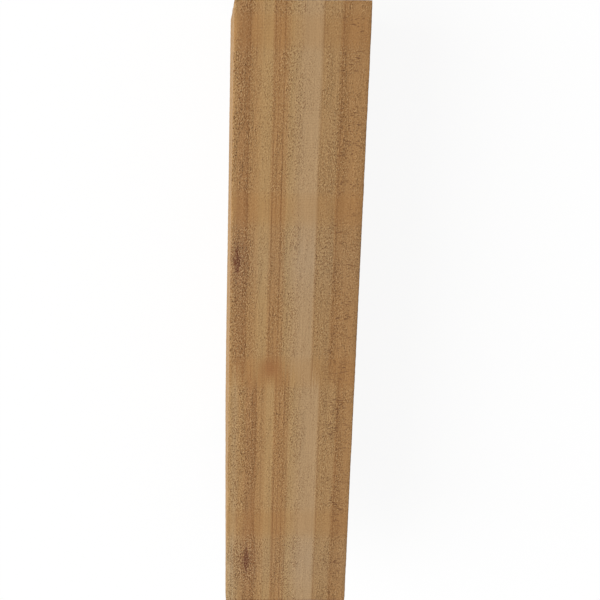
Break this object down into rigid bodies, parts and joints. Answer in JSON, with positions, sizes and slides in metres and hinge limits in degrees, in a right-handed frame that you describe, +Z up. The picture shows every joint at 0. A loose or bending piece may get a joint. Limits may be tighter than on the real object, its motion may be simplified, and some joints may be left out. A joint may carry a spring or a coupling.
{
  "type": "wooden knee brace",
  "caption": "Rough-sawn square timber knee brace, mitred at both ends to bear level under a beam and plumb against a post.",
  "frame": {"origin": "on the short face that the brace lies on, midway between the nose and the foot tips along the length and at the middle of the width", "axes": "+X along the timber from the nose (beam end) to the foot (post end), +Y across its width, +Z up out of the long face"},
  "size_m": [0.874, 0.1524, 0.1524],
  "materials": {
    "sawn_cedar": "matte"
  },
  "bodies": {
    "root": {"knee_brace": "sawn_cedar"}
  },
  "joints": []
}
